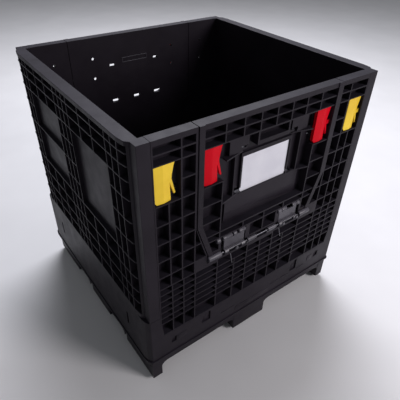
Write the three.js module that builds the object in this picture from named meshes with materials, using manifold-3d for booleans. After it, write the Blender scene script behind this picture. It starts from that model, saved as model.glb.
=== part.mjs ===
// A collapsible bulk pallet box: a moulded pallet base, four ribbed walls, and a drop door in each end wall.
// Millimetres, +Z up. The origin is on the floor, under the middle of the box. The front wall faces -Y.
import * as THREE from "three";
import { mergeVertices } from "three/addons/utils/BufferGeometryUtils.js";
import Module from "manifold-3d";

const wasm = await Module();
wasm.setup();

// Overall sizes
const width = 813;
const depth = 780;
const height = 868;

// Wall section
const wall = 30;
const skin = 4;
const rib = 4;
const rimDepth = 10;
const gap = 0.5;
const foldGap = 1;

// Corner posts, which belong to the side walls
const postWidth = 34.5;
const postThick = 14;
const postSide = 25;

// The side walls stand out beyond the posts
const sideBulge = 13.5;
const sideWallThick = 35;
const sideRunout = 36;

// Pallet base
const deckTop = 150;
const deckRib = 6;
const deckThick = 18;
const skirtBottom = 102;
const skirtBulge = 11.5;
const grooveAcross = 265;
const grooveLow = deckTop + 28;
const grooveHigh = grooveLow + 54;
const lipBottom = 68;
const filletRise = 20;
const lipInset = 5;
const lipThick = 7;
const beadRise = 3;
const beadHeight = 7;
const frontSill = 205;
const sillThick = 8;
const cornerTop = 297;
const cornerTaper = 12;
const footWidth = 34;
const cornerFootLength = 180;
const middleFootLength = 150;
const middleFootWidth = 146;
const middleFootDepth = 90;
const footInset = 4;
const footChamfer = 12;

// Folding of the end walls
const frontFold = 164;
const foldStagger = 42;
const foldIn = 18;
const rodRadius = 4;
const rodRunning = 0.6;
const knuckleRadius = 8;
const knuckleLength = 40;
const knucklePlaces = [-270, -90, 90, 270];
const footInWall = 6;

// Drop door and its opening
const doorHalf = 247;
const doorFootHalf = 205;
const doorBar = 16;
const barProud = 2.5;
const doorGap = 2;
const hingeHeight = 440;
const doorLift = 10;
const doorSlant = 135;
const hingeProud = 1;
const shelfDrop = 16;
const shelfDepth = 14;
const barrelRadius = 9;
const barrelLength = 46;
const barrelMiddle = 185;
const doorRodRadius = 3.5;
const plateMiddle = 110.5;
const plateWidth = 77;
const plateRise = 58;
const plateThick = 5;
const plateKnuckle = 8;
const clipMiddle = 42;
const clipLength = 34;

// Latches
const latchHeight = 108;
const latchWidth = 60;
const latchThick = 12;
const latchRecess = 3;
const latchTravel = 10;
const latchPocketDepth = 19;
const latchDrop = 65;
const latchInset = 4;
const latchInBar = 2;
const latchSightHole = 5;
const noseHeight = 12;
const noseThick = 5;
const noseLow = 48;
const noseSlotRoom = 7;

// Label holder and hand-hold in the front door
const labelHalf = 87;
const labelTall = 115;
const labelDrop = 139;
const labelThick = 2;
const frameRim = 6;
const recessHalf = 166;
const panelHalf = 142;
const panelBend = 0.45;
const handHoldHalf = 58;
const handHoldTall = 41;
const padFrom = 78;
const sightAcross = 92;
const padDrop = 116;

// Pitches of the ribs on the end walls, and places across them
const topRowDrop = 37;
const stripPitch = 59.5;
const lowPitch = 24.6;
const stripColumns = [331, 294];
const lowColumns = [0, 54, 104, 170, 250, 290, 328];
const doorColumns = [0, 55, 110, 168];
const doorLowColumns = [0, 82, 168];
const doorSillLift = 74;
const doorLowLift = 52;

// Pitches and places of the ribs on the side walls, and the cells under the deck
const sideTopDrops = [30, 62, 101];
const sideMiddleDrops = [153, 219, 283, 348];
const sideLowRises = [164, 111, 65, 17];
const sideCentreColumns = [15, 45];
const sideFewColumns = [120, 193];
const sideEndColumns = [268, 297, 328];
const panelDepth = 12;
const deckCells = 4;

const halfWidth = width / 2;
const halfDepth = depth / 2;
const outer = -halfDepth;
const inner = -halfDepth + wall;
const skinFace = inner - skin;
const sideOuter = halfWidth + sideBulge;
const sideInner = sideOuter - sideWallThick;
const foldY = outer + foldIn;
const endHalf = halfWidth - postWidth - gap;

const doorBottom = hingeHeight + doorLift;
const doorWaist = hingeHeight + doorSlant;
const openingShelf = hingeHeight - shelfDrop;
const doorSill = doorBottom + doorSillLift;
const doorLowRow = doorBottom + doorLowLift;

const latchTop = height - latchDrop;
const latchBottom = latchTop - latchHeight - 1;
const wallLatchEdge = endHalf - latchInset;
const doorLatchEdge = doorHalf - doorBar - latchInBar;

const labelHigh = height - labelDrop;
const labelLow = labelHigh - labelTall;
const recessLow = doorSill + 3;
const handHoldLow = latchTop - handHoldTall;
const padLow = height - padDrop;

// Rib heights, from the lowest up
const stripRows = steps(latchBottom, openingShelf, stripPitch);
const shelfRow = openingShelf - 12;
const topRow = height - topRowDrop;

// Heights from high down to low, a pitch apart, given from the lowest up
function steps(high, low, pitch) {
  const found = [];
  for (let at = high; at > low + pitch * 0.4; at -= pitch) {
    found.push(at);
  }
  return found.reverse();
}

// Solids

function toSolid(geometry) {
  const bare = geometry.clone();
  bare.deleteAttribute("normal");
  bare.deleteAttribute("uv");
  const merged = mergeVertices(bare, 1e-4);
  return new wasm.Manifold(
    new wasm.Mesh({
      numProp: 3,
      vertProperties: merged.attributes.position.array,
      triVerts: new Uint32Array(merged.index.array),
    }),
  );
}

function toGeometry(solid) {
  const mesh = solid.getMesh();
  const geometry = new THREE.BufferGeometry();
  geometry.setAttribute("position", new THREE.BufferAttribute(mesh.vertProperties, mesh.numProp));
  geometry.setIndex(new THREE.BufferAttribute(mesh.triVerts, 1));
  geometry.computeVertexNormals();
  return geometry;
}

function box(x0, x1, y0, y1, z0, z1) {
  const geometry = new THREE.BoxGeometry(Math.abs(x1 - x0), Math.abs(y1 - y0), Math.abs(z1 - z0));
  geometry.translate((x0 + x1) / 2, (y0 + y1) / 2, (z0 + z1) / 2);
  return toSolid(geometry);
}

// An outline drawn in x and z, standing between two places along y
function frontPlate(points, y0, y1) {
  const shape = new THREE.Shape(points.map(([x, z]) => new THREE.Vector2(x, z)));
  const geometry = new THREE.ExtrudeGeometry(shape, { depth: y1 - y0, bevelEnabled: false });
  geometry.rotateX(Math.PI / 2);
  geometry.translate(0, y1, 0);
  return toSolid(geometry);
}

// An outline drawn in y and z, running between two places along x
function sidePlate(points, x0, x1) {
  const shape = new THREE.Shape(points.map(([y, z]) => new THREE.Vector2(y, z)));
  const geometry = new THREE.ExtrudeGeometry(shape, { depth: x1 - x0, bevelEnabled: false });
  geometry.rotateX(Math.PI / 2);
  geometry.rotateZ(Math.PI / 2);
  geometry.translate(x0, 0, 0);
  return toSolid(geometry);
}

// An outline drawn in x and y, standing between two heights
function floorPlate(points, z0, z1) {
  const shape = new THREE.Shape(points.map(([x, y]) => new THREE.Vector2(x, y)));
  const geometry = new THREE.ExtrudeGeometry(shape, { depth: z1 - z0, bevelEnabled: false });
  geometry.translate(0, 0, z0);
  return toSolid(geometry);
}

function rodX(radius, x0, x1, y, z, sides = 12) {
  const geometry = new THREE.CylinderGeometry(radius, radius, x1 - x0, sides);
  geometry.rotateZ(Math.PI / 2);
  geometry.translate((x0 + x1) / 2, y, z);
  return toSolid(geometry);
}

function rodY(radius, y0, y1, x, z, sides = 8) {
  const geometry = new THREE.CylinderGeometry(radius, radius, y1 - y0, sides);
  geometry.translate(x, (y0 + y1) / 2, z);
  return toSolid(geometry);
}

function join(solids) {
  return solids.reduce((whole, piece) => whole.add(piece));
}

function cut(solid, tools) {
  return tools.length ? solid.subtract(join(tools)) : solid;
}

function bothSides(list) {
  return [...new Set([...list.map((value) => -value), ...list])].sort((a, b) => a - b);
}

// Blind cells between ribs: one for each space between neighbouring columns and rows
function cells(columns, rows, make) {
  const found = [];
  for (let i = 0; i + 1 < columns.length; i += 1) {
    for (let j = 0; j + 1 < rows.length; j += 1) {
      found.push(make(columns[i] + rib / 2, columns[i + 1] - rib / 2, rows[j] + rib / 2, rows[j + 1] - rib / 2));
    }
  }
  return found;
}

function frontCells(columns, rows, floor = skinFace) {
  return cells(columns, rows, (x0, x1, z0, z1) => box(x0, x1, outer - 1, floor, z0, z1));
}

function rising(list) {
  return [...list].sort((a, b) => a - b);
}

// Materials, with the colours of the real pieces

function plastic(colour, roughness) {
  return new THREE.MeshStandardMaterial({ color: colour, roughness, metalness: 0 });
}

const blackPlastic = plastic(0x17161b, 0.5);
const yellowPlastic = plastic(0xe0bc34, 0.45);
const redPlastic = plastic(0xc20d26, 0.45);
const greyPlastic = plastic(0x3b3a42, 0.4);
const whiteCard = plastic(0xd8d7dc, 0.6);
const steel = new THREE.MeshStandardMaterial({ color: 0x8b8c90, roughness: 0.35, metalness: 0.9 });

// The outline of the door at a distance inside its own edge
function doorOutline(inset, low, high) {
  const slope = (doorHalf - doorFootHalf) / (doorWaist - doorBottom);
  const half = doorHalf - inset;
  const foot = half - slope * (doorWaist - low);
  return [
    [-foot, low],
    [foot, low],
    [half, doorWaist],
    [half, high],
    [-half, high],
    [-half, doorWaist],
  ];
}

// Pieces of an end wall. Each is drawn as the front one; the back end is the same, turned round.

function wallLatchPocket(side) {
  const near = wallLatchEdge + gap * 2;
  const far = wallLatchEdge - latchWidth - latchTravel - gap * 2;
  return { near: side * near, far: side * far };
}

function doorLatchPocket(side) {
  const near = doorLatchEdge + gap * 2;
  const far = doorLatchEdge - latchWidth - latchTravel - gap * 2;
  return { near: side * near, far: side * far };
}

// A latch's pocket, the slot for its nose, and two sight holes through the skin
function latchRoom({ near, far }, noseTo) {
  const noseFrom = latchBottom + noseLow - noseSlotRoom;
  const noseEnd = latchBottom + noseLow + noseHeight + noseSlotRoom;
  const depthFrom = outer + latchRecess;
  const sight = far + Math.sign(near) * (latchSightHole + 1.5);
  return [
    box(near, far, outer - 1, outer + latchPocketDepth, latchBottom + 1, latchTop - 1),
    box(near, noseTo, depthFrom + 2, depthFrom + noseThick + 6, noseFrom, noseEnd),
    ...[latchBottom + 31, latchTop - 7].map((z) => rodY(latchSightHole, outer, inner + 1, sight, z)),
  ];
}

function endWall(fold) {
  const sill = frontSill + (fold - frontFold);
  const foot = fold - footInWall;
  const sillHalf = endHalf - cornerTaper - gap;
  const taperTop = Math.max(cornerTop, sill + 40);
  const body = frontPlate(
    [
      [-sillHalf, foot],
      [sillHalf, foot],
      [sillHalf, sill],
      [endHalf, taperTop],
      [endHalf, height],
      [-endHalf, height],
      [-endHalf, taperTop],
      [-sillHalf, sill],
    ],
    outer,
    inner,
  );
  const behindSill = box(-halfWidth, halfWidth, outer - 1, outer + sillThick + 4, foot - 1, sill + gap);
  const barrelEnd = barrelMiddle + barrelLength / 2 + doorGap;
  const opening = frontPlate(doorOutline(-doorGap, doorBottom - doorGap, height + 1), outer - 1, inner + 1);
  const shelf = box(-barrelEnd, barrelEnd, outer - 1, outer + shelfDepth, openingShelf, doorBottom + 3 * doorGap);
  const solid = cut(body, [behindSill, opening, shelf]);

  const upper = endHalf - rib / 2;
  const column = doorHalf + doorGap + rib;
  const lowRows = steps(shelfRow, sill + 2 * lowPitch, lowPitch);
  const fullRows = [sill + rib, ...lowRows.slice(0, -1)];
  const tools = [];
  for (const side of [-1, 1]) {
    const span = (list) => rising(list.map((x) => side * x));
    const outside = [upper, stripColumns[1], column];
    tools.push(...frontCells(span(outside), [latchTop, topRow, height - rimDepth - rib / 2]));
    tools.push(...frontCells(span([stripColumns[1], column]), [latchBottom, (latchBottom + latchTop) / 2, latchTop]));
    tools.push(...frontCells(span([upper, ...stripColumns, column]), [shelfRow, ...stripRows]));
    const beyond = doorGap + rib;
    const besideRows = stripRows.filter((z) => z < doorWaist + 2);
    besideRows.forEach((low, i) => {
      const high = besideRows[i + 1] ?? doorWaist;
      if (high - low > 3 * rib) {
        tools.push(besideDoorCell(side, low, high, beyond, column));
      }
    });
    tools.push(...latchRoom(wallLatchPocket(side), side * (endHalf + 1)));
    const beside = [lowColumns[3], ...lowColumns.slice(4), upper];
    tools.push(...frontCells(span(beside), [lowRows.at(-2), shelfRow]));
    tools.push(...frontCells(span([lowColumns[0], lowColumns[1]]), [lowRows.at(-2), shelfRow]));
    const plateFrom = side * (lowColumns[1] + rib / 2);
    const plateTo = side * (lowColumns[3] - rib / 2);
    tools.push(box(plateFrom, plateTo, outer - 1, skinFace, lowRows.at(-2) + rib / 2, openingShelf - rib - 3));
  }
  tools.push(...frontCells(bothSides([...lowColumns, upper]), fullRows));
  return cutForHinges(cut(solid, tools), fold);
}

// Room for the base's knuckles and the rod along the foot of an end wall
function cutForHinges(solid, fold) {
  const tools = knucklePlaces.map((x) =>
    box(
      x - knuckleLength / 2 - foldGap,
      x + knuckleLength / 2 + foldGap,
      outer,
      inner + 1,
      fold - 20,
      fold + knuckleRadius + 3,
    ),
  );
  tools.push(rodX(rodRadius + rodRunning, -halfWidth, halfWidth, foldY, fold));
  return cut(solid, tools);
}

function endDoor(hasLabelRoom) {
  const half = doorHalf - doorBar;
  const plate = frontPlate(doorOutline(0, doorBottom, height), outer, inner);
  const barrels = [-1, 1].map((side) => {
    const from = side * barrelMiddle - barrelLength / 2;
    return join([
      rodX(barrelRadius, from, from + barrelLength, outer - hingeProud, hingeHeight),
      box(from, from + barrelLength, outer - hingeProud, outer + barrelRadius - 2, hingeHeight, doorBottom + 2),
    ]);
  });
  const bars = cut(frontPlate(doorOutline(0, doorBottom, height), outer - barProud, outer + 1), [
    frontPlate(doorOutline(doorBar, doorBottom - 1, height + 1), outer - barProud - 1, outer + 2),
  ]);
  const top = height - rimDepth - rib / 2;
  const tools = [frontRecess()];
  tools.push(...frontCells(bothSides([...doorColumns, half + rib / 2]), [latchTop, topRow, top]));
  tools.push(...frontCells(bothSides(doorLowColumns), [doorLowRow, doorSill]));
  tools.push(...frontCells(bothSides(doorColumns.slice(0, 2)), [doorBottom + rib, doorLowRow]));
  const edge = doorColumns.at(-1);
  for (const side of [-1, 1]) {
    const rows = steps(latchBottom, doorSill, stripPitch);
    tools.push(...frontCells(rising([side * edge, side * (half + rib / 2)]), rows));
    tools.push(slantedCell(side, doorSill, rows[0], edge));
    tools.push(slantedCell(side, doorLowRow, doorSill, edge));
    tools.push(slantedCell(side, doorBottom + 2 * rib, doorLowRow, edge));
    const from = side * (plateMiddle - plateWidth / 2 - 3);
    const to = side * (plateMiddle + plateWidth / 2 + 12);
    tools.push(box(from, to, outer - 1, outer + 12, doorBottom - 1, doorLowRow - rib / 2));
  }
  const solid = join([cut(plate, tools), bars, ...recessFittings(hasLabelRoom), ...barrels]);
  return cut(solid, [
    ...[-1, 1].flatMap((side) => latchRoom(doorLatchPocket(side), side * (doorHalf + 1))),
    ...sightSlots(),
    rodX(doorRodRadius + rodRunning, -halfWidth, halfWidth, outer - hingeProud, hingeHeight),
  ]);
}

// Slots through the door: three under the label, one in each pad, and a hand slot on the inside
function sightSlots() {
  const slots = [-sightAcross, 0, sightAcross].map((x) => box(x - 13, x + 13, outer, inner + 1, labelLow + 6, labelLow + 18));
  for (const x of [-sightAcross, sightAcross]) {
    slots.push(box(x - 11, x + 11, outer, inner + 1, padLow + 5, padLow + 15));
  }
  slots.push(box(-48, 48, inner - 2, inner + 1, handHoldLow + 6, handHoldLow + 18));
  return slots;
}

// One cell of the wall between the door's slanted edge and a column
function besideDoorCell(side, low, high, beyond, column) {
  const slope = (doorHalf - doorFootHalf) / (doorWaist - doorBottom);
  const edge = (z) => doorHalf + beyond - slope * Math.max(0, doorWaist - z);
  const bottom = Math.max(low + rib / 2, doorBottom);
  const top = high - rib / 2;
  const points = [
    [edge(bottom), bottom],
    [column - rib / 2, bottom],
    [column - rib / 2, top],
    [Math.min(edge(top), column - rib / 2 - 1), top],
  ].map(([x, z]) => [side * x, z]);
  return frontPlate(side > 0 ? points : points.reverse(), outer - 1, skinFace);
}

// One cell beside the door's slanted bar
function slantedCell(side, low, high, column) {
  const slope = (doorHalf - doorFootHalf) / (doorWaist - doorBottom);
  const reach = (z) => doorHalf - doorBar - slope * Math.max(0, doorWaist - z);
  const points = [
    [column + rib / 2, low + rib / 2],
    [reach(low + rib / 2), low + rib / 2],
    [reach(high - rib / 2), high - rib / 2],
    [column + rib / 2, high - rib / 2],
  ].map(([x, z]) => [side * x, z]);
  return frontPlate(side > 0 ? points : points.reverse(), outer - 1, skinFace);
}

// The wide recess in the middle of a door, down to the skin
function frontRecess() {
  return box(-recessHalf, recessHalf, outer - 1, skinFace, recessLow, latchTop - rib / 2);
}

// What stands in the recess: hand-hold box, pads, side shelves, label frame and smooth panel
function recessFittings(hasLabelRoom) {
  const face = skinFace - 7;
  const back = skinFace + 1;
  const handHold = cut(box(-handHoldHalf, handHoldHalf, outer + 2, back, handHoldLow, latchTop), [
    box(-handHoldHalf + 6, handHoldHalf - 6, outer + 1, skinFace, handHoldLow + 12, latchTop - rib),
  ]);
  const pieces = [handHold];
  const shelfHeights = [labelHigh + 19, labelLow + 6];
  for (const side of [-1, 1]) {
    const pad = box(side * padFrom, side * panelHalf, face - 6, back, padLow, latchTop);
    const notch = rodY(14, outer, face, side * (padFrom + 10), padLow, 12);
    pieces.push(cut(pad, [notch]));
    const shelf = [
      [side * (recessHalf + 1), outer],
      [side * (recessHalf + 1), back],
      [side * (labelHalf + 4), back],
      [side * (labelHalf + 4), face],
    ];
    for (const z of shelfHeights) {
      pieces.push(floorPlate(side > 0 ? shelf : shelf.reverse(), z - rib / 2, z + rib / 2));
    }
    const rail = side * (labelHalf + frameRim + 26);
    pieces.push(box(rail, rail + side * rib, outer + 12, back, shelfHeights[1], shelfHeights[0]));
  }
  const frameHigh = labelHigh + 2 * frameRim;
  const frame = box(-labelHalf - frameRim, labelHalf + frameRim, face, back, labelLow - frameRim, frameHigh);
  const room = box(-labelHalf - gap, labelHalf + gap, face - 1, skinFace, labelLow - gap, labelHigh + gap);
  pieces.push(hasLabelRoom ? cut(frame, [room]) : frame);
  const panel = [
    [back, recessLow - 1],
    [back, labelLow],
    [face, labelLow],
    [face, recessLow + (labelLow - recessLow) * panelBend],
    [skinFace - 3, recessLow - 1],
  ];
  pieces.push(sidePlate(panel, -panelHalf, panelHalf));
  return pieces;
}

// Latches: a pull plate with a finger waist, a spring arm and a nose
function latch(nose) {
  const w = latchWidth;
  const h = latchHeight - 2;
  // Shares of the width and of the height
  const outline = [
    [0.1, 0],
    [0.77, 0],
    [0.73, 0.47],
    [0.93, 0.13],
    [1, 0.15],
    [0.83, 0.55],
    [0.85, 0.66],
    [0.95, 0.89],
    [1, 0.96],
    [0.95, 1],
    [0.03, 1],
    [0, 0.96],
    [0, 0.09],
  ].map(([s, t]) => [(s - 0.5) * w, t * h]);
  const back = latchThick;
  const plate = frontPlate(outline, 0, back);
  const ridge = floorPlate(
    [
      [-w / 2 - 1, back + 1],
      [-w / 2 - 1, 2.5],
      [-w / 2 + 25, 0],
      [-w / 2 + 47, 4],
      [w / 2 + 1, 5],
      [w / 2 + 1, back + 1],
    ],
    -1,
    h + 1,
  );
  const shaped = plate.intersect(ridge);
  return shaped.add(nose);
}

// The nose reaches past the plate, on the side away from the door's middle
function noseOf(side, reach) {
  const edge = side * (latchWidth / 2);
  return box(edge - side * 9, edge + side * reach, 4, 4 + noseThick, noseLow, noseLow + noseHeight);
}

function wallLatch(side) {
  return latch(noseOf(side, latchInset - 1));
}

function doorLatch(side) {
  return latch(noseOf(side, doorBar - 4));
}

// Hinge plate: joins the door to the rod, and turns with the door
function hingePlate() {
  const half = plateWidth / 2;
  const rise = plateRise;
  const leaf = box(-half, half, 2, 2 + plateThick, 0, rise - 6);
  const low = rodX(plateKnuckle, -half, half, 0, 0, 10);
  const high = rodX(plateKnuckle - 1, -half, half, 3, rise - 6, 8);
  const notch = box(-11, 13, -20, 20, rise - 16, rise + 10);
  const bore = rodX(doorRodRadius + rodRunning, -half - 1, half + 1, 0, 0, 10);
  const groove = box(-half + 14, half - 14, -20, 20, -9, 5);
  return cut(join([leaf, low, high]), [notch, bore, groove]);
}

// Clip that holds the door's rod to the wall under the opening
function rodClip() {
  const half = clipLength / 2;
  const ring = rodX(7, -half, half, 0, 0, 12);
  const stem = box(-half, half, 0, 9, -13.5, 2);
  const bore = rodX(doorRodRadius + rodRunning, -half - 1, half + 1, 0, 0);
  return cut(join([ring, stem]), [bore]);
}

// Side walls with their corner posts, drawn as the left one
function sideWall() {
  const face = -sideOuter;
  const back = -sideInner;
  const foot = cornerTop + gap;
  const half = halfDepth;
  const panelHalf = half - postSide;
  const quarter = [
    [face, panelHalf - sideRunout],
    [face + 4, panelHalf - 9],
    [face + 12, panelHalf],
    [back, panelHalf],
  ];
  const outline = [...quarter, ...quarter.map(([x, y]) => [x, -y]).reverse()].reverse();
  const body = floorPlate(outline, foot, height);
  const ends = [-1, 1].flatMap((side) => [
    box(-halfWidth, back, side * (panelHalf - 2), side * half, foot, height),
    box(-halfWidth, -halfWidth + postWidth, side * (half - wall), side * half, foot, height),
  ]);
  let solid = join([body, ...ends]);
  const skinX = back - skin;
  const make = (floor) => (y0, y1, z0, z1) => box(face - 1, floor, y0, y1, z0, z1);
  const end = panelHalf - rib;
  const every = bothSides([...sideCentreColumns, ...sideFewColumns, ...sideEndColumns, end]);
  const topRows = rising([height - rimDepth, ...sideTopDrops.map((drop) => height - drop)]);
  const middleRows = rising([sideTopDrops.at(-1), ...sideMiddleDrops].map((drop) => height - drop));
  const lowRows = rising([middleRows[0], ...sideLowRises.map((rise) => cornerTop + rise)]);
  const tools = [];
  tools.push(...cells(every, topRows, make(skinX)));
  tools.push(...cells(every, lowRows, make(skinX)));
  tools.push(...cells(bothSides(sideCentreColumns), middleRows, make(skinX)));
  for (const side of [-1, 1]) {
    const endColumns = rising([...sideEndColumns, end].map((y) => side * y));
    tools.push(...cells(endColumns, middleRows, make(skinX)));
    const panel = rising([side * sideCentreColumns[1], side * sideEndColumns[0]]);
    const whole = [middleRows[0], middleRows.at(-1)];
    const halved = [middleRows[0], middleRows[2], middleRows.at(-1)];
    tools.push(...cells(panel, side > 0 ? halved : whole, make(face + panelDepth)));
  }
  return cut(solid, [...tools, sideRodCut(-1)]);
}

// The side walls stand on a rod that lies half in the sill and half in the wall's foot
const sideRodX = sideOuter - sideWallThick / 2;
const sideRodHalf = halfDepth - postSide - 20;

function sideRodCut(side) {
  const x = side * sideRodX;
  const reach = sideRodHalf + 4;
  const room = rodRadius + gap;
  return box(x - room, x + room, -reach, reach, cornerTop - room, cornerTop + room);
}

// The plan of the base with its rounded corners, at a distance inside its own edge
function baseOutline(inset) {
  const x = halfWidth - inset;
  const y = halfDepth - inset;
  const quarter = [
    [x + skirtBulge, 0],
    [x + skirtBulge, y - 30],
    [x + skirtBulge - 3, y - 14],
    [x + 2, y - 3],
    [x - 2, y],
  ];
  const upper = [...quarter, ...quarter.map(([a, b]) => [-a, b]).reverse()];
  const lower = upper.map(([a, b]) => [-a, -b]);
  return [...upper.slice(1, -1), ...lower.slice(1, -1)];
}

// The pallet base: deck, sills, corner blocks and nine feet, moulded in one
function palletBase() {
  const tub = floorPlate(baseOutline(0), skirtBottom, cornerTop);
  const blockInner = halfWidth - postWidth - cornerTaper;
  const x = sideInner;
  const y = halfDepth - sillThick;
  const step = halfDepth - postThick + 1;
  const room = [
    [x, step],
    [blockInner, step],
    [blockInner, y],
    [-blockInner, y],
    [-blockInner, step],
    [-x, step],
    [-x, -step],
    [-blockInner, -step],
    [-blockInner, -y],
    [blockInner, -y],
    [blockInner, -step],
    [x, -step],
  ];
  const tools = [floorPlate(room, deckTop, cornerTop + 1)];
  for (const turn of [1, -1]) {
    const sill = frontSill + (turn > 0 ? 0 : foldStagger);
    const window = [
      [-blockInner, sill],
      [blockInner, sill],
      [blockInner + cornerTaper, cornerTop + 0.01],
      [blockInner + cornerTaper, cornerTop + 1],
      [-blockInner - cornerTaper, cornerTop + 1],
      [-blockInner - cornerTaper, cornerTop + 0.01],
    ];
    const y0 = turn * (outer - 1);
    const y1 = turn * (outer + postThick + 1);
    tools.push(frontPlate(window, Math.min(y0, y1), Math.max(y0, y1)));
    tools.push(...sillWindows(turn, sill));
  }
  for (const side of [-1, 1]) {
    for (const at of [-grooveAcross, grooveAcross]) {
      const face = side * (halfWidth + skirtBulge);
      tools.push(box(face + side, face - side * 4, at - 5, at + 5, grooveLow, grooveHigh));
    }
    tools.push(sideRodCut(side));
  }
  tools.push(...underDeckCells(sideInner - rib, y));
  const inner = cut(floorPlate(baseOutline(lipInset), lipBottom, skirtBottom + 1), [
    floorPlate(baseOutline(lipInset + lipThick), lipBottom - 1, skirtBottom + 2),
  ]);
  const bead = cut(floorPlate(baseOutline(-beadRise), skirtBottom - 2, skirtBottom + beadHeight - 2), [
    floorPlate(baseOutline(beadRise), skirtBottom - 3, skirtBottom + beadHeight),
  ]);
  const pieces = [cut(tub, tools), inner, bead];
  for (const turn of [1, -1]) {
    const fold = turn > 0 ? frontFold : frontFold + foldStagger;
    pieces.push(...knucklePlaces.map((at) => knuckle(at, turn, fold)));
  }
  const places = footPlaces();
  pieces.push(...places.map(({ x0, x1, y0, y1 }) => footBlock(x0, x1, y0, y1)));
  pieces.push(...footFillets());
  const rods = [1, -1].map((turn) => {
    const fold = turn > 0 ? frontFold : frontFold + foldStagger;
    return rodX(rodRadius + rodRunning, -sideInner + 5, sideInner - 5, turn * foldY, fold, 12);
  });
  return cut(join(pieces), rods);
}

// Wide cells under the deck, open below, between ribs
function underDeckCells(halfX, halfY) {
  const found = [];
  const stepX = (2 * halfX) / deckCells;
  const stepY = (2 * halfY) / deckCells;
  for (let i = 0; i < deckCells; i += 1) {
    for (let j = 0; j < deckCells; j += 1) {
      const x0 = -halfX + i * stepX + deckRib / 2;
      const y0 = -halfY + j * stepY + deckRib / 2;
      found.push(box(x0, x0 + stepX - deckRib, y0, y0 + stepY - deckRib, skirtBottom - 1, deckTop - deckThick));
    }
  }
  return found;
}

// Shallow windows in the face of an end sill
function sillWindows(turn, sill) {
  const windows = [
    [-327, 42, 18, 24],
    [-203, 26, 34, 42],
    [200, 26, 30, 48],
    [323, 33, 22, 24],
  ];
  return windows.map(([at, down, w, h]) => {
    const middle = turn * at;
    const z = sill - down;
    const y0 = turn * (outer - 1);
    const y1 = turn * (outer + sillThick - 3);
    return box(middle - w / 2, middle + w / 2, y0, y1, z - h / 2, z + h / 2);
  });
}

// A knuckle on the deck that carries an end wall's rod
function knuckle(x, turn, fold) {
  const y = turn * foldY;
  const from = x - knuckleLength / 2;
  const barrel = rodX(knuckleRadius, from, from + knuckleLength, y, fold, 12);
  const stem = box(from, from + knuckleLength, y - 7, y + 7, deckTop - 2, fold);
  return join([barrel, stem]);
}

// A foot with a chamfer round its sole, hollow from below in two cells
function footBlock(x0, x1, y0, y1) {
  const c = footChamfer;
  const top = deckTop - deckThick / 2;
  const profile = (a, b) => [
    [a + c, 0],
    [b - c, 0],
    [b, c],
    [b, top],
    [a, top],
    [a, c],
  ];
  return frontPlate(profile(x0, x1), y0, y1).intersect(sidePlate(profile(y0, y1), x0, x1));
}

// Curved gussets under the lip, where the outer feet meet it
function footFillets() {
  const r = filletRise;
  const profile = (from, way) => {
    const points = [
      [from - way, lipBottom + 2],
      [from - way, lipBottom - r],
      [from, lipBottom - r],
      [from + way * r * 0.13, lipBottom - r * 0.5],
      [from + way * r * 0.5, lipBottom - r * 0.13],
      [from + way * r, lipBottom],
      [from + way * r, lipBottom + 2],
    ];
    return way > 0 ? points : points.reverse();
  };
  const found = [];
  for (const side of [-1, 1]) {
    const face = halfDepth - lipInset;
    const sideFace = halfWidth + skirtBulge - lipInset;
    const span = (at) => [side * at, side * (at - lipThick)].sort((a, b) => a - b);
    for (const end of [-1, 1]) {
      found.push(frontPlate(profile(end * (halfWidth - footWidth), -end), ...span(face)));
      found.push(frontPlate(profile((end * middleFootWidth) / 2, end), ...span(face)));
      const cornerEnd = halfDepth - footInset - cornerFootLength;
      found.push(sidePlate(profile(end * cornerEnd, -end), ...span(sideFace)));
      found.push(sidePlate(profile((end * middleFootLength) / 2, end), ...span(sideFace)));
    }
  }
  return found;
}

// Places of the nine feet
function footPlaces() {
  const places = [];
  const add = (x, y, w, l) => places.push({ x0: x - w / 2, x1: x + w / 2, y0: y - l / 2, y1: y + l / 2 });
  const sideX = halfWidth - footWidth / 2;
  const endY = halfDepth - footInset;
  for (const side of [-1, 1]) {
    for (const turn of [-1, 1]) {
      add(side * sideX, turn * (endY - cornerFootLength / 2), footWidth, cornerFootLength);
    }
    add(side * sideX, 0, footWidth, middleFootLength);
    add(0, side * (endY - middleFootDepth / 2), middleFootWidth, middleFootDepth);
  }
  add(0, 0, middleFootWidth, middleFootLength);
  return places;
}

// The assembly

const root = new THREE.Group();

function place(parent, name, solid, material, x = 0, y = 0, z = 0) {
  const mesh = new THREE.Mesh(toGeometry(solid), material);
  mesh.name = name;
  mesh.position.set(x, y, z);
  parent.add(mesh);
  return mesh;
}

function buildEnd(end, fold) {
  const group = new THREE.Group();
  group.rotation.z = end === "front" ? 0 : Math.PI;
  root.add(group);
  place(group, `${end}_wall`, endWall(fold), blackPlastic);
  place(group, `${end}_door`, endDoor(end === "front"), blackPlastic);
  const rodHalf = sideInner - 26;
  place(group, `${end}_wall_hinge_rod`, rodX(rodRadius, -rodHalf, rodHalf, foldY, fold, 12), steel);
  const axisY = outer - hingeProud;
  const doorRodHalf = barrelMiddle + barrelLength / 2 - 2;
  place(group, `${end}_door_hinge_rod`, rodX(doorRodRadius, -doorRodHalf, doorRodHalf, axisY, hingeHeight, 10), steel);
  for (const [side, hand] of [
    [-1, "left"],
    [1, "right"],
  ]) {
    const latchY = outer + latchRecess;
    const wallX = side * wallLatchEdge - (side * latchWidth) / 2;
    place(group, `${end}_wall_latch_${hand}`, wallLatch(side), yellowPlastic, wallX, latchY, latchBottom + 2);
    const doorX = side * doorLatchEdge - (side * latchWidth) / 2;
    place(group, `${end}_door_latch_${hand}`, doorLatch(side), redPlastic, doorX, latchY, latchBottom + 2);
    place(group, `${end}_door_hinge_plate_${hand}`, hingePlate(), greyPlastic, side * plateMiddle, axisY, hingeHeight);
    place(group, `${end}_rod_clip_${hand}`, rodClip(), greyPlastic, side * clipMiddle, axisY, hingeHeight);
  }
}

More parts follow.
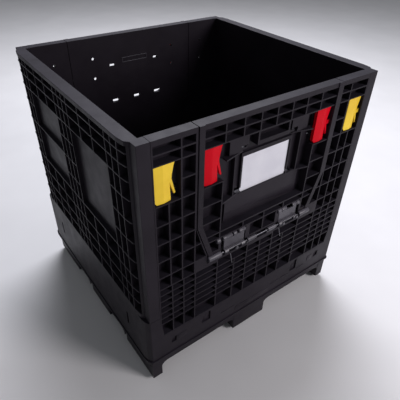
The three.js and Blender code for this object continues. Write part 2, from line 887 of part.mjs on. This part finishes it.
place(root, "pallet_base", palletBase(), blackPlastic);
buildEnd("front", frontFold);
buildEnd("back", frontFold + foldStagger);

const labelFace = skinFace - labelThick - gap;
place(root, "label_plate", box(-labelHalf, labelHalf, labelFace, labelFace + labelThick, labelLow, labelHigh), whiteCard);

for (const [turn, hand] of [
  [0, "left"],
  [Math.PI, "right"],
]) {
  const group = new THREE.Group();
  group.rotation.z = turn;
  root.add(group);
  place(group, `${hand}_wall`, sideWall(), blackPlastic);
  const rod = rodX(rodRadius, -sideRodHalf, sideRodHalf, 0, 0, 12);
  const mesh = place(group, `${hand}_wall_hinge_rod`, rod, steel, -sideRodX, 0, cornerTop);
  mesh.rotation.z = Math.PI / 2;
}

export default root;
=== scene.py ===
import math

import bmesh
import bpy
from mathutils import Matrix, Vector


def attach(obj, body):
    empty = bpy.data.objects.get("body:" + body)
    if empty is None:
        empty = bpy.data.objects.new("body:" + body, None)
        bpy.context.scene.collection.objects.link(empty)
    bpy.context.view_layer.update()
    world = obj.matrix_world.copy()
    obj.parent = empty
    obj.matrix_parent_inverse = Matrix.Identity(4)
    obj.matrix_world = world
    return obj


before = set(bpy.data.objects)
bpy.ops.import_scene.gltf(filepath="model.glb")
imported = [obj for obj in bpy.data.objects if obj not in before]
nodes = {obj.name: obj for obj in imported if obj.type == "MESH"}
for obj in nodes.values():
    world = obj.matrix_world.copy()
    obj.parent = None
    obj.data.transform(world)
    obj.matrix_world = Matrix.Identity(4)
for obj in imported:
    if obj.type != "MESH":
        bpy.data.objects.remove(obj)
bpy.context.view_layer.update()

mm = 0.001
ends = ("front", "back")
hands = {"left": -1, "right": 1}

# Camera
camera_place = (-0.7384, -1.0485, 1.2777)
camera_turn = (53.08, -1.28, -36.35)
camera_lens = 37.2
camera_shift = (-0.0029, 0.0065)

# Soft edges
moulding_edge = 0.9 * mm
base_edge = moulding_edge * 1.6
fitting_edge = 0.6 * mm
latch_edge = fitting_edge * 1.6
card_edge = fitting_edge * 0.5
rim_share = 0.22
weld_reach = 0.02 * mm
sharp_angle = 35

# Places on an end, as the front one: across, and up from the floor. Those in brackets are in millimetres.
wall_face = 390 * mm
hinge_axis = 391 * mm
hinge_height = 440 * mm
knuckle_height = 492 * mm
knuckle_across = {"left": (-172, -150, -112, -90), "right": (68, 85, 130, 150)}
knuckle_length = 13 * mm
knuckle_radius = 8 * mm
knuckle_behind = 3 * mm
pin_across = {"left": (-106,), "right": (88, 148)}
pin_radius = 5.5 * mm
pin_length = 5 * mm
pin_before = 8 * mm
barrel_middle = 185 * mm
barrel_length = 46.6 * mm
barrel_radius = 9.5 * mm
strap_half_width = 1.6 * mm
strap_half_thick = 0.9 * mm
strap_before = 0.2 * mm
strap_ends = {"left": ((-122, 418), (-112, 372)), "right": ((80, 418), (92, 378))}
thin_round = 0.5 * mm
sill_stagger = 42 * mm
sill_line_heights = (149, 151.5)
sill_lines = ((-140, -84), (85, 130), (140, 178), (222, 262))
sill_pads = ((-314, -280, 151, 174), (276, 302, 158, 182), (-78, 78, 118, 140))
window_block_heights = (163, 181)
window_blocks = ((-210, -198), (194, 206))
inner_face = 360 * mm
slot_half = 50 * mm
slot_low = 766 * mm
slot_high = 782 * mm
slot_rim = 2.2 * mm
slot_rim_proud = 0.9 * mm
lug_half = (4, 2.5)
lug_places = ((100, 308), (172, 305), (108, 252), (175, 252), (-100, 308), (-172, 305))


# The turns that lay a round bar along an axis
along_x = Matrix.Rotation(math.radians(90), 4, "Y")
along_y = Matrix.Rotation(math.radians(90), 4, "X")


def add_camera():
    data = bpy.data.cameras.new("camera")
    data.lens = camera_lens
    data.sensor_width = 36.0
    data.shift_x, data.shift_y = camera_shift
    data.clip_start = 0.01
    camera = bpy.data.objects.new("camera", data)
    camera.location = camera_place
    camera.rotation_euler = [math.radians(angle) for angle in camera_turn]
    bpy.context.scene.collection.objects.link(camera)
    bpy.context.scene.camera = camera


def add_area_light(name, place, target, size, power, colour):
    data = bpy.data.lights.new(name, "AREA")
    data.shape = "DISK"
    data.size = size
    data.energy = power
    data.color = colour
    light = bpy.data.objects.new(name, data)
    light.location = place
    aim = Vector(target) - Vector(place)
    light.rotation_euler = aim.to_track_quat("-Z", "Y").to_euler()
    bpy.context.scene.collection.objects.link(light)


def add_lights():
    world = bpy.data.worlds.new("studio")
    world.use_nodes = True
    background = world.node_tree.nodes["Background"]
    background.inputs["Color"].default_value = (0.93, 0.95, 1.0, 1.0)
    background.inputs["Strength"].default_value = 0.18
    bpy.context.scene.world = world
    add_area_light(
        name="overhead",
        place=(1.3, 1.7, 3.5),
        target=(0.2, 0.0, 0.4),
        size=2.6,
        power=165.0,
        colour=(0.93, 0.93, 1.0),
    )
    add_area_light(
        name="front_fill",
        place=(1.8, -3.7, 2.1),
        target=(0.0, -0.3, 0.45),
        size=1.6,
        power=108.0,
        colour=(1.0, 0.95, 0.97),
    )


def add_floor():
    shape = bmesh.new()
    bmesh.ops.create_grid(shape, x_segments=1, y_segments=1, size=6.0)
    mesh = bpy.data.meshes.new("studio_floor")
    shape.to_mesh(mesh)
    shape.free()
    floor = bpy.data.objects.new("studio_floor", mesh)
    bpy.context.scene.collection.objects.link(floor)
    mesh.materials.append(floor_material())


# Node helpers


class Graph:
    """A node tree with short calls to add nodes and join sockets."""

    def __init__(self, tree):
        self.tree = tree

    def add(self, kind, **settings):
        node = self.tree.nodes.new(kind)
        for name, value in settings.items():
            setattr(node, name, value)
        return node

    def join(self, source, target):
        self.tree.links.new(source, target)

    def feed(self, value, target):
        """Joins a socket to the target, or sets the target to a plain value."""
        if isinstance(value, bpy.types.NodeSocket):
            self.join(value, target)
        else:
            target.default_value = value

    def noise(self, vector, scale, detail=4.0, roughness=0.55):
        node = self.add("ShaderNodeTexNoise")
        self.join(vector, node.inputs["Vector"])
        self.feed(scale, node.inputs["Scale"])
        node.inputs["Detail"].default_value = detail
        node.inputs["Roughness"].default_value = roughness
        return node.outputs["Fac"]

    def ramp(self, value, low, high, to_low=0.0, to_high=1.0):
        node = self.add("ShaderNodeMapRange", clamp=True)
        self.join(value, node.inputs["Value"])
        node.inputs["From Min"].default_value = low
        node.inputs["From Max"].default_value = high
        node.inputs["To Min"].default_value = to_low
        node.inputs["To Max"].default_value = to_high
        return node.outputs["Result"]

    def math(self, operation, first, second):
        node = self.add("ShaderNodeMath", operation=operation)
        for socket, value in zip(node.inputs, (first, second)):
            self.feed(value, socket)
        return node.outputs["Value"]

    def mix_colour(self, factor, first, second):
        node = self.add("ShaderNodeMix", data_type="RGBA")
        for name, value in (("Factor", factor), ("A", first), ("B", second)):
            kind = "VALUE" if name == "Factor" else "RGBA"
            socket = [s for s in node.inputs if s.name == name and s.type == kind][0]
            self.feed(value, socket)
        return [s for s in node.outputs if s.type == "RGBA"][0]

    def stretch(self, vector, scale):
        node = self.add("ShaderNodeMapping")
        self.join(vector, node.inputs["Vector"])
        node.inputs["Scale"].default_value = scale
        return node.outputs["Vector"]


def new_group(name, inputs, outputs):
    """A shader node group with named sockets. Each input is a name, a kind and a starting value."""
    tree = bpy.data.node_groups.new(name, "ShaderNodeTree")
    for label, kind, value in inputs:
        socket = tree.interface.new_socket(label, in_out="INPUT", socket_type=kind)
        socket.default_value = value
    for label, kind in outputs:
        tree.interface.new_socket(label, in_out="OUTPUT", socket_type=kind)
    graph = Graph(tree)
    source = graph.add("NodeGroupInput")
    target = graph.add("NodeGroupOutput")
    return tree, graph, source, target


def moulded_grain_group():
    """Fine spark-eroded grain with slow waves from shrinkage. Puts out a height."""
    tree, graph, source, target = new_group(
        "moulded_grain",
        [("Grain", "NodeSocketFloat", 900.0), ("Waves", "NodeSocketFloat", 9.0)],
        [("Height", "NodeSocketFloat")],
    )
    place = graph.add("ShaderNodeTexCoord").outputs["Object"]
    grain = graph.noise(place, source.outputs["Grain"], 2.0)
    waves = graph.noise(place, source.outputs["Waves"], 2.0)
    graph.join(graph.math("ADD", graph.math("MULTIPLY", grain, 0.35), waves), target.inputs["Height"])
    return tree


def dust_and_sheen_group():
    """Dust that settles on faces that look up, thicker in patches, with a painted sheen of light from
    above on the same faces. Puts out a mask.
    """
    tree, graph, source, target = new_group(
        "settled_dust_and_top_sheen",
        [("Amount", "NodeSocketFloat", 0.4), ("Patches", "NodeSocketFloat", 14.0)],
        [("Mask", "NodeSocketFloat")],
    )
    place = graph.add("ShaderNodeTexCoord").outputs["Object"]
    normal = graph.add("ShaderNodeSeparateXYZ")
    graph.join(graph.add("ShaderNodeNewGeometry").outputs["Normal"], normal.inputs["Vector"])
    # Faces that look up get dust and a painted sheen of light from above.
    upward = graph.ramp(normal.outputs["Z"], 0.25, 0.95)
    patches = graph.noise(place, source.outputs["Patches"], 6.0, 0.6)
    specks = graph.noise(place, 420.0, 2.0)
    thick = graph.ramp(patches, 0.3, 0.75, 0.35, 1.0)
    fine = graph.ramp(specks, 0.35, 0.7, 0.6, 1.0)
    spread = graph.math("MULTIPLY", upward, graph.math("MULTIPLY", thick, fine))
    graph.join(graph.math("MULTIPLY", spread, source.outputs["Amount"]), target.inputs["Mask"])
    return tree


def scuff_group():
    """Rubbed streaks from handling, long in one direction. Puts out a mask."""
    tree, graph, source, target = new_group(
        "handling_scuffs",
        [("Amount", "NodeSocketFloat", 0.5)],
        [("Mask", "NodeSocketFloat")],
    )
    place = graph.add("ShaderNodeTexCoord").outputs["Object"]
    flat_streaks = graph.noise(graph.stretch(place, (6.0, 6.0, 160.0)), 1.6, 5.0, 0.65)
    tall_streaks = graph.noise(graph.stretch(place, (150.0, 150.0, 5.0)), 1.3, 5.0, 0.65)
    patches = graph.ramp(graph.noise(place, 4.5, 3.0), 0.42, 0.68)
    flat_marks = graph.ramp(flat_streaks, 0.6, 0.78)
    tall_marks = graph.ramp(tall_streaks, 0.62, 0.8)
    streaks = graph.math("MAXIMUM", flat_marks, tall_marks)
    mask = graph.math("MULTIPLY", graph.math("MULTIPLY", streaks, patches), source.outputs["Amount"])
    graph.join(mask, target.inputs["Mask"])
    return tree


def use_group(graph, tree, **values):
    node = graph.add("ShaderNodeGroup", node_tree=tree)
    for name, value in values.items():
        node.inputs[name].default_value = value
    return node


def new_material(name):
    material = bpy.data.materials.new(name)
    material.use_nodes = True
    graph = Graph(material.node_tree)
    shader = material.node_tree.nodes["Principled BSDF"]
    return material, graph, shader


def moulded_plastic(name, colour, shade, dust_and_sheen_colour, rough, dust_and_sheen, scuffs, grain, relief, gloss):
    """Injection-moulded plastic: slow colour drift, grain, handling scuffs, and settled dust with a
    painted sheen of light on faces that look up.
    """
    material, graph, shader = new_material(name)
    shader.inputs["Specular IOR Level"].default_value = gloss
    place = graph.add("ShaderNodeTexCoord").outputs["Object"]
    drift = graph.ramp(graph.noise(place, 7.0, 4.0), 0.3, 0.7)
    body = graph.mix_colour(drift, shade + (1.0,), colour + (1.0,))
    scuff = use_group(graph, groups["scuffs"], Amount=scuffs).outputs["Mask"]
    dust_and_sheen_mask = use_group(graph, groups["dust_and_sheen"], Amount=dust_and_sheen).outputs["Mask"]
    worn = tuple(min(1.0, channel * 2.2 + 0.012) for channel in colour) + (1.0,)
    rubbed = graph.mix_colour(scuff, body, worn)
    # Faces that look up take the dust colour: partly real dust, partly a painted sheen of light from
    # above.
    graph.join(graph.mix_colour(dust_and_sheen_mask, rubbed, dust_and_sheen_colour + (1.0,)), shader.inputs["Base Color"])
    roughness = graph.ramp(graph.noise(place, 22.0, 5.0), 0.3, 0.7, rough - 0.05, rough + 0.07)
    roughness = graph.math("ADD", roughness, graph.math("MULTIPLY", dust_and_sheen_mask, 0.25))
    roughness = graph.math("ADD", roughness, graph.math("MULTIPLY", scuff, 0.12))
    graph.join(roughness, shader.inputs["Roughness"])
    bump = graph.add("ShaderNodeBump")
    bump.inputs["Strength"].default_value = relief
    bump.inputs["Distance"].default_value = 0.0006
    graph.join(use_group(graph, groups["grain"], Grain=grain).outputs["Height"], bump.inputs["Height"])
    graph.join(bump.outputs["Normal"], shader.inputs["Normal"])
    return material


def floor_material():
    """Pale matt floor with slow drifts of tone."""
    material, graph, shader = new_material("pale_floor")
    place = graph.add("ShaderNodeTexCoord").outputs["Object"]
    tone = graph.ramp(graph.noise(place, 3.0, 2.0), 0.3, 0.7)
    dull = (0.76, 0.76, 0.77, 1.0)
    bright = (0.80, 0.80, 0.81, 1.0)
    colour = graph.mix_colour(tone, dull, bright)
    graph.join(colour, shader.inputs["Base Color"])
    shader.inputs["Roughness"].default_value = 0.85
    return material


def card_material():
    """Smooth white card with faint fibres, a little darker in patches."""
    material, graph, shader = new_material("white_card")
    place = graph.add("ShaderNodeTexCoord").outputs["Object"]
    fibres = graph.noise(graph.stretch(place, (300.0, 300.0, 900.0)), 1.0, 3.0)
    patches = graph.noise(place, 16.0, 3.0)
    tone = graph.math("ADD", graph.math("MULTIPLY", fibres, 0.35), graph.math("MULTIPLY", patches, 0.65))
    dull = (0.60, 0.60, 0.66, 1.0)
    bright = (0.69, 0.69, 0.74, 1.0)
    colour = graph.mix_colour(graph.ramp(tone, 0.35, 0.65), dull, bright)
    graph.join(colour, shader.inputs["Base Color"])
    graph.join(graph.ramp(patches, 0.3, 0.7, 0.42, 0.56), shader.inputs["Roughness"])
    bump = graph.add("ShaderNodeBump")
    bump.inputs["Strength"].default_value = 0.12
    bump.inputs["Distance"].default_value = 0.0002
    graph.join(fibres, bump.inputs["Height"])
    graph.join(bump.outputs["Normal"], shader.inputs["Normal"])
    return material


def steel_material():
    """Blackened steel rod with fine lines along its length and dull spots."""
    material, graph, shader = new_material("drawn_steel")
    place = graph.add("ShaderNodeTexCoord").outputs["Object"]
    lines = graph.noise(graph.stretch(place, (8.0, 700.0, 700.0)), 1.0, 3.0)
    spots = graph.ramp(graph.noise(place, 60.0, 5.0), 0.5, 0.75)
    clean = (0.055, 0.055, 0.062, 1.0)
    dull = (0.03, 0.028, 0.028, 1.0)
    colour = graph.mix_colour(spots, clean, dull)
    graph.join(colour, shader.inputs["Base Color"])
    shader.inputs["Metallic"].default_value = 1.0
    graph.join(graph.ramp(lines, 0.3, 0.7, 0.28, 0.45), shader.inputs["Roughness"])
    return material


def soften_edges(obj, width, segments=2):
    """Closes the loose triangles and rounds every sharp edge, all by modifiers."""
    weld = obj.modifiers.new("close", "WELD")
    weld.merge_threshold = weld_reach
    bevel = obj.modifiers.new("soft_edges", "BEVEL")
    bevel.width = width
    bevel.segments = segments
    bevel.limit_method = "ANGLE"
    bevel.angle_limit = math.radians(sharp_angle)
    bevel.use_clamp_overlap = True
    bevel.miter_outer = "MITER_ARC" if segments > 1 else "MITER_SHARP"
    bevel.harden_normals = True


def finish_node(name, material, edge, segments=2):
    obj = nodes[name]
    obj.data.materials.clear()
    obj.data.materials.append(material)
    soften_edges(obj, edge, segments)


def finish_mouldings():
    black = materials["black"]
    finish_node("pallet_base", black, base_edge)
    for name in list(ends) + list(hands):
        finish_node(f"{name}_wall", black, moulding_edge)
    for end in ends:
        finish_node(f"{end}_door", black, moulding_edge)


def finish_fittings():
    finish_node("label_plate", materials["card"], card_edge)
    for name in list(ends) + list(hands):
        finish_node(f"{name}_wall_hinge_rod", materials["steel"], fitting_edge)
    for end in ends:
        finish_node(f"{end}_door_hinge_rod", materials["steel"], fitting_edge)
        for hand in hands:
            finish_node(f"{end}_wall_latch_{hand}", materials["yellow"], latch_edge, 3)
            finish_node(f"{end}_door_latch_{hand}", materials["red"], latch_edge, 3)
            finish_node(f"{end}_door_hinge_plate_{hand}", materials["fitting"], fitting_edge)
            finish_node(f"{end}_rod_clip_{hand}", materials["fitting"], fitting_edge)


# Small fittings that stand on the CAD pieces


def round_edges(shape, edges, width):
    """Rounds these edges of a shape."""
    bmesh.ops.bevel(
        shape,
        geom=edges,
        offset=width,
        affect="EDGES",
        segments=3,
        profile=0.5,
        material=-1,
        clamp_overlap=True,
    )


def add_bar(shape, low, high, round_by):
    """A bar with round edges between two corners."""
    size = [b - a for a, b in zip(low, high)]
    middle = [(a + b) / 2 for a, b in zip(low, high)]
    place = Matrix.Translation(middle) @ Matrix.Diagonal((*size, 1.0))
    made = bmesh.ops.create_cube(shape, size=1.0, matrix=place)
    edges = list({edge for vert in made["verts"] for edge in vert.link_edges})
    round_edges(shape, edges, round_by)


def add_round(shape, radius, length, place, turn):
    """A round bar whose middle is at a place, with soft rims."""
    made = bmesh.ops.create_cone(
        shape,
        cap_ends=True,
        segments=20,
        radius1=radius,
        radius2=radius,
        depth=length,
        matrix=Matrix.Translation(place) @ turn,
    )
    caps = {face for vert in made["verts"] for face in vert.link_faces if len(face.verts) > 4}
    rims = list({edge for face in caps for edge in face.edges})
    round_edges(shape, rims, radius * rim_share)


def put_piece(shape, name, end, finish, body):
    """Turns a shape to its end of the box, and makes it a piece that moves with a body."""
    if end == "back":
        half_turn = Matrix.Rotation(math.pi, 3, "Z")
        bmesh.ops.rotate(shape, verts=shape.verts, cent=(0, 0, 0), matrix=half_turn)
    bmesh.ops.recalc_face_normals(shape, faces=shape.faces)
    mesh = bpy.data.meshes.new(name)
    shape.to_mesh(mesh)
    shape.free()
    for polygon in mesh.polygons:
        polygon.use_smooth = True
    mesh.materials.append(materials[finish])
    piece = bpy.data.objects.new(name, mesh)
    bpy.context.scene.collection.objects.link(piece)
    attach(piece, body)


def add_hinge_details(end, hand):
    """Knuckles along the top of a hinge plate, and the heads of its pins."""
    shape = bmesh.new()
    for x in knuckle_across[hand]:
        place = (x * mm, -hinge_axis + knuckle_behind, knuckle_height)
        add_round(shape, knuckle_radius, knuckle_length, place, along_x)
    for x in pin_across[hand]:
        place = (x * mm, -hinge_axis - pin_before, hinge_height)
        add_round(shape, pin_radius, pin_length, place, along_y)
    put_piece(shape, f"{end}_hinge_knuckles_{hand}", end, "fitting", f"{end}_door_panel")


def add_barrel_sleeve(end, hand):
    """The smooth round sleeve of a door's outer hinge barrel."""
    shape = bmesh.new()
    middle = hands[hand] * barrel_middle
    add_round(shape, barrel_radius, barrel_length, (middle, -hinge_axis, hinge_height), along_x)
    put_piece(shape, f"{end}_barrel_sleeve_{hand}", end, "fitting", f"{end}_door_panel")


def add_strap(end, hand):
    """The narrow strap that runs down over the ribs under a hinge plate."""
    (x0, z0), (x1, z1) = strap_ends[hand]
    shape = bmesh.new()
    corner = (strap_half_width, strap_half_thick, math.hypot(x1 - x0, z1 - z0) * mm / 2)
    add_bar(shape, [-side for side in corner], corner, thin_round)
    lean = Matrix.Rotation(math.atan2(x1 - x0, z1 - z0), 4, "Y")
    place = Matrix.Translation(((x0 + x1) / 2 * mm, -wall_face - strap_before, (z0 + z1) / 2 * mm))
    bmesh.ops.transform(shape, matrix=place @ lean, verts=shape.verts)
    put_piece(shape, f"{end}_hinge_strap_{hand}", end, "fitting", f"{end}_wall_panel")


def add_hand_slot(end):
    """The raised rim round the hand slot on the inside of a door."""
    rim = bmesh.new()
    back = -inner_face - 1 * mm
    proud = -inner_face + slot_rim_proud
    edge = slot_rim / 2
    across = slot_half + slot_rim
    for z in (slot_low, slot_high):
        add_bar(rim, (-across, back, z - edge), (across, proud, z + edge), thin_round)
    for x in (-slot_half, slot_half):
        add_bar(rim, (x - edge, back, slot_low), (x + edge, proud, slot_high), thin_round)
    put_piece(rim, f"{end}_hand_slot_rim", end, "fitting", f"{end}_door_panel")


def add_face_bar(shape, across, heights, before, behind, round_by):
    """A bar on an end's outer face, from before the face to behind it, all in millimetres."""
    low = (across[0] * mm, -wall_face - before * mm, heights[0] * mm)
    high = (across[1] * mm, -wall_face + behind * mm, heights[1] * mm)
    add_bar(shape, low, high, round_by * mm)


def add_sill_marks(end):
    """Thin lines and pads moulded on the face of an end sill, and a block in two of its windows.

    The back sill has its own higher, by the step between the two ends.
    """
    shape = bmesh.new()
    for across in sill_lines:
        add_face_bar(shape, across, sill_line_heights, before=1.1, behind=2, round_by=0.6)
    for x0, x1, z0, z1 in sill_pads:
        add_face_bar(shape, (x0, x1), (z0, z1), before=0.9, behind=2, round_by=0.7)
    for across in window_blocks:
        add_face_bar(shape, across, window_block_heights, before=-4, behind=12, round_by=0.9)
    if end == "back":
        bmesh.ops.translate(shape, verts=shape.verts, vec=(0, 0, sill_stagger))
    put_piece(shape, f"{end}_sill_marks", end, "black", "base")


def add_lugs(end):
    """Short lugs moulded where the low ribs cross."""
    shape = bmesh.new()
    half_width, half_height = lug_half
    for x, z in lug_places:
        across = (x - half_width, x + half_width)
        heights = (z - half_height, z + half_height)
        add_face_bar(shape, across, heights, before=1.2, behind=3, round_by=0.8)
    put_piece(shape, f"{end}_rib_lugs", end, "black", f"{end}_wall_panel")


add_camera()
add_lights()
bpy.context.scene.view_settings.view_transform = "Standard"
groups = {
    "grain": moulded_grain_group(),
    "dust_and_sheen": dust_and_sheen_group(),
    "scuffs": scuff_group(),
}
materials = {
    "black": moulded_plastic(
        name="black_moulding",
        colour=(0.0165, 0.0132, 0.0188),
        shade=(0.0105, 0.0082, 0.012),
        # Bluish grey on faces that look up: dust, and a painted sheen of light from above on the rails.
        dust_and_sheen_colour=(0.060, 0.059, 0.078),
        rough=0.44,
        dust_and_sheen=0.34,
        scuffs=0.35,
        grain=900.0,
        relief=0.22,
        gloss=0.12,
    ),
    "fitting": moulded_plastic(
        name="dark_fitting",
        colour=(0.060, 0.056, 0.070),
        shade=(0.036, 0.033, 0.042),
        # Light grey on faces that look up: dust, and a painted highlight where the knuckles and barrels
        # catch light from above.
        dust_and_sheen_colour=(0.26, 0.25, 0.29),
        rough=0.34,
        dust_and_sheen=0.6,
        scuffs=0.5,
        grain=1200.0,
        relief=0.2,
        gloss=0.4,
    ),
    "yellow": moulded_plastic(
        name="yellow_latch",
        colour=(0.90, 0.64, 0.045),
        shade=(0.70, 0.43, 0.02),
        dust_and_sheen_colour=(0.60, 0.47, 0.16),
        rough=0.44,
        dust_and_sheen=0.1,
        scuffs=0.15,
        grain=1300.0,
        relief=0.15,
        gloss=0.2,
    ),
    "red": moulded_plastic(
        name="red_latch",
        colour=(0.64, 0.001, 0.013),
        shade=(0.50, 0.0, 0.007),
        dust_and_sheen_colour=(0.46, 0.03, 0.05),
        rough=0.5,
        dust_and_sheen=0.05,
        scuffs=0.06,
        grain=1300.0,
        relief=0.15,
        gloss=0.07,
    ),
    "card": card_material(),
    "steel": steel_material(),
}
add_floor()
finish_mouldings()
finish_fittings()
for end in ends:
    for hand in hands:
        add_hinge_details(end, hand)
        add_barrel_sleeve(end, hand)
        add_strap(end, hand)
    add_hand_slot(end)
    add_lugs(end)
    add_sill_marks(end)
